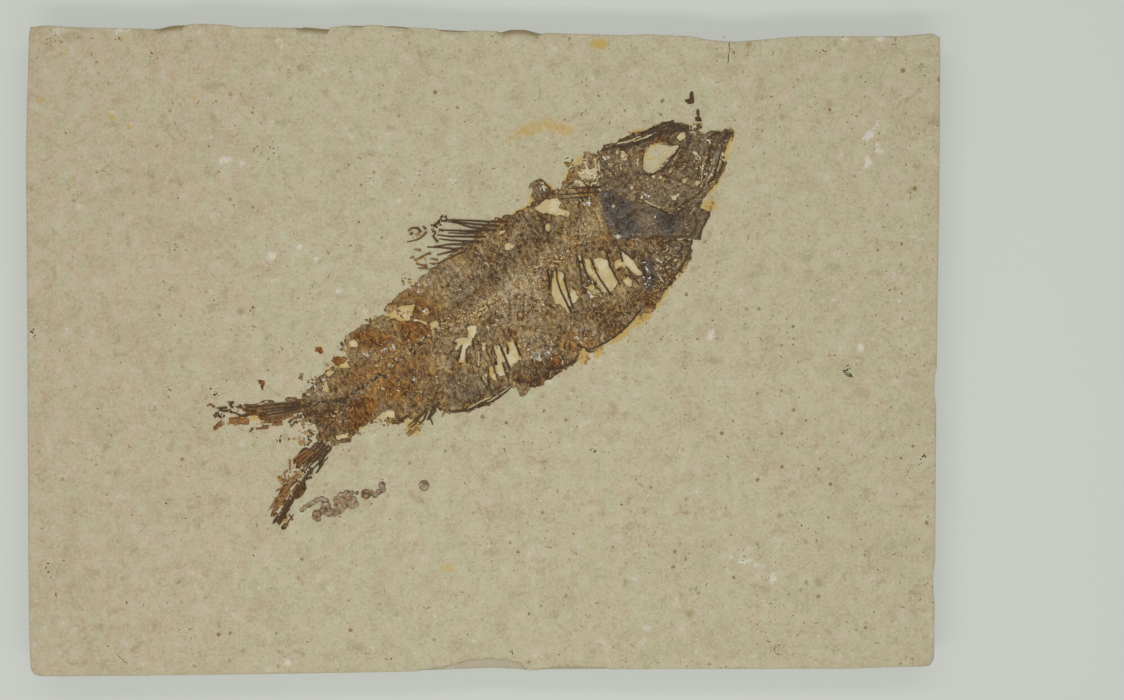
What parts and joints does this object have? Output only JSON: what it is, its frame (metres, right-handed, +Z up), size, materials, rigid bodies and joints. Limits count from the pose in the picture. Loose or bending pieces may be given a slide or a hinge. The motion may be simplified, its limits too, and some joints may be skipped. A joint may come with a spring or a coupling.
{
  "type": "fossil fish slab",
  "caption": "Flat limestone slab with a pressed fossil herring, its loose scales and fin rays, and beaded fossil droppings beside the tail.",
  "frame": {"origin": "middle of the slab's flat underside", "axes": "+X along the slab from the fish's tail to its head, +Y towards the fish's back, +Z up out of the fossil's face"},
  "size_m": [0.183, 0.1306, 0.0118],
  "materials": {
    "limestone": "matte, fine-grained buff limestone",
    "head_bone": "satin brown fossil bone",
    "gill_bone": "satin slate-brown fossil bone",
    "body_film": "matte brown fossil film of scales",
    "fin_bone": "satin dark brown fossil bone",
    "loose_scale": "matte orange-brown fossil scale",
    "dropping": "matte grey-brown fossil dropping"
  },
  "bodies": {
    "root": {"slab": "limestone", "skull": "head_bone", "gill_cover": "gill_bone", "trunk": "body_film", "backbone": "fin_bone", "vertebra_1": "fin_bone", "vertebra_2": "fin_bone", "vertebra_3": "fin_bone", "vertebra_4": "fin_bone", "vertebra_5": "fin_bone", "vertebra_6": "fin_bone", "vertebra_7": "fin_bone", "vertebra_8": "fin_bone", "dorsal_ray_1": "fin_bone", "dorsal_ray_2": "fin_bone", "dorsal_ray_3": "fin_bone", "dorsal_ray_4": "fin_bone", "dorsal_ray_5": "fin_bone", "dorsal_ray_6": "fin_bone", "dorsal_ray_7": "fin_bone", "dorsal_ray_8": "fin_bone", "dorsal_ray_9": "fin_bone", "anal_ray_1": "fin_bone", "anal_ray_2": "fin_bone", "anal_ray_3": "fin_bone", "anal_ray_4": "fin_bone", "anal_ray_5": "fin_bone", "anal_ray_6": "fin_bone", "anal_ray_7": "fin_bone", "tail_upper_lobe": "fin_bone", "tail_lower_lobe": "fin_bone", "tail_ray_1": "fin_bone", "tail_ray_2": "fin_bone", "tail_ray_3": "fin_bone", "tail_ray_4": "fin_bone", "tail_ray_5": "fin_bone", "tail_ray_6": "fin_bone", "tail_flake_1": "loose_scale", "tail_flake_2": "loose_scale", "tail_flake_3": "loose_scale", "tail_flake_4": "loose_scale", "back_flake_1": "loose_scale", "back_flake_2": "loose_scale", "back_flake_3": "loose_scale", "back_flake_4": "loose_scale", "back_flake_5": "loose_scale", "snout_flake_1": "loose_scale", "snout_flake_2": "loose_scale", "snout_flake_3": "loose_scale", "coprolite_string": "dropping", "coprolite_end": "dropping", "coprolite_pellet": "dropping"}
  },
  "joints": []
}
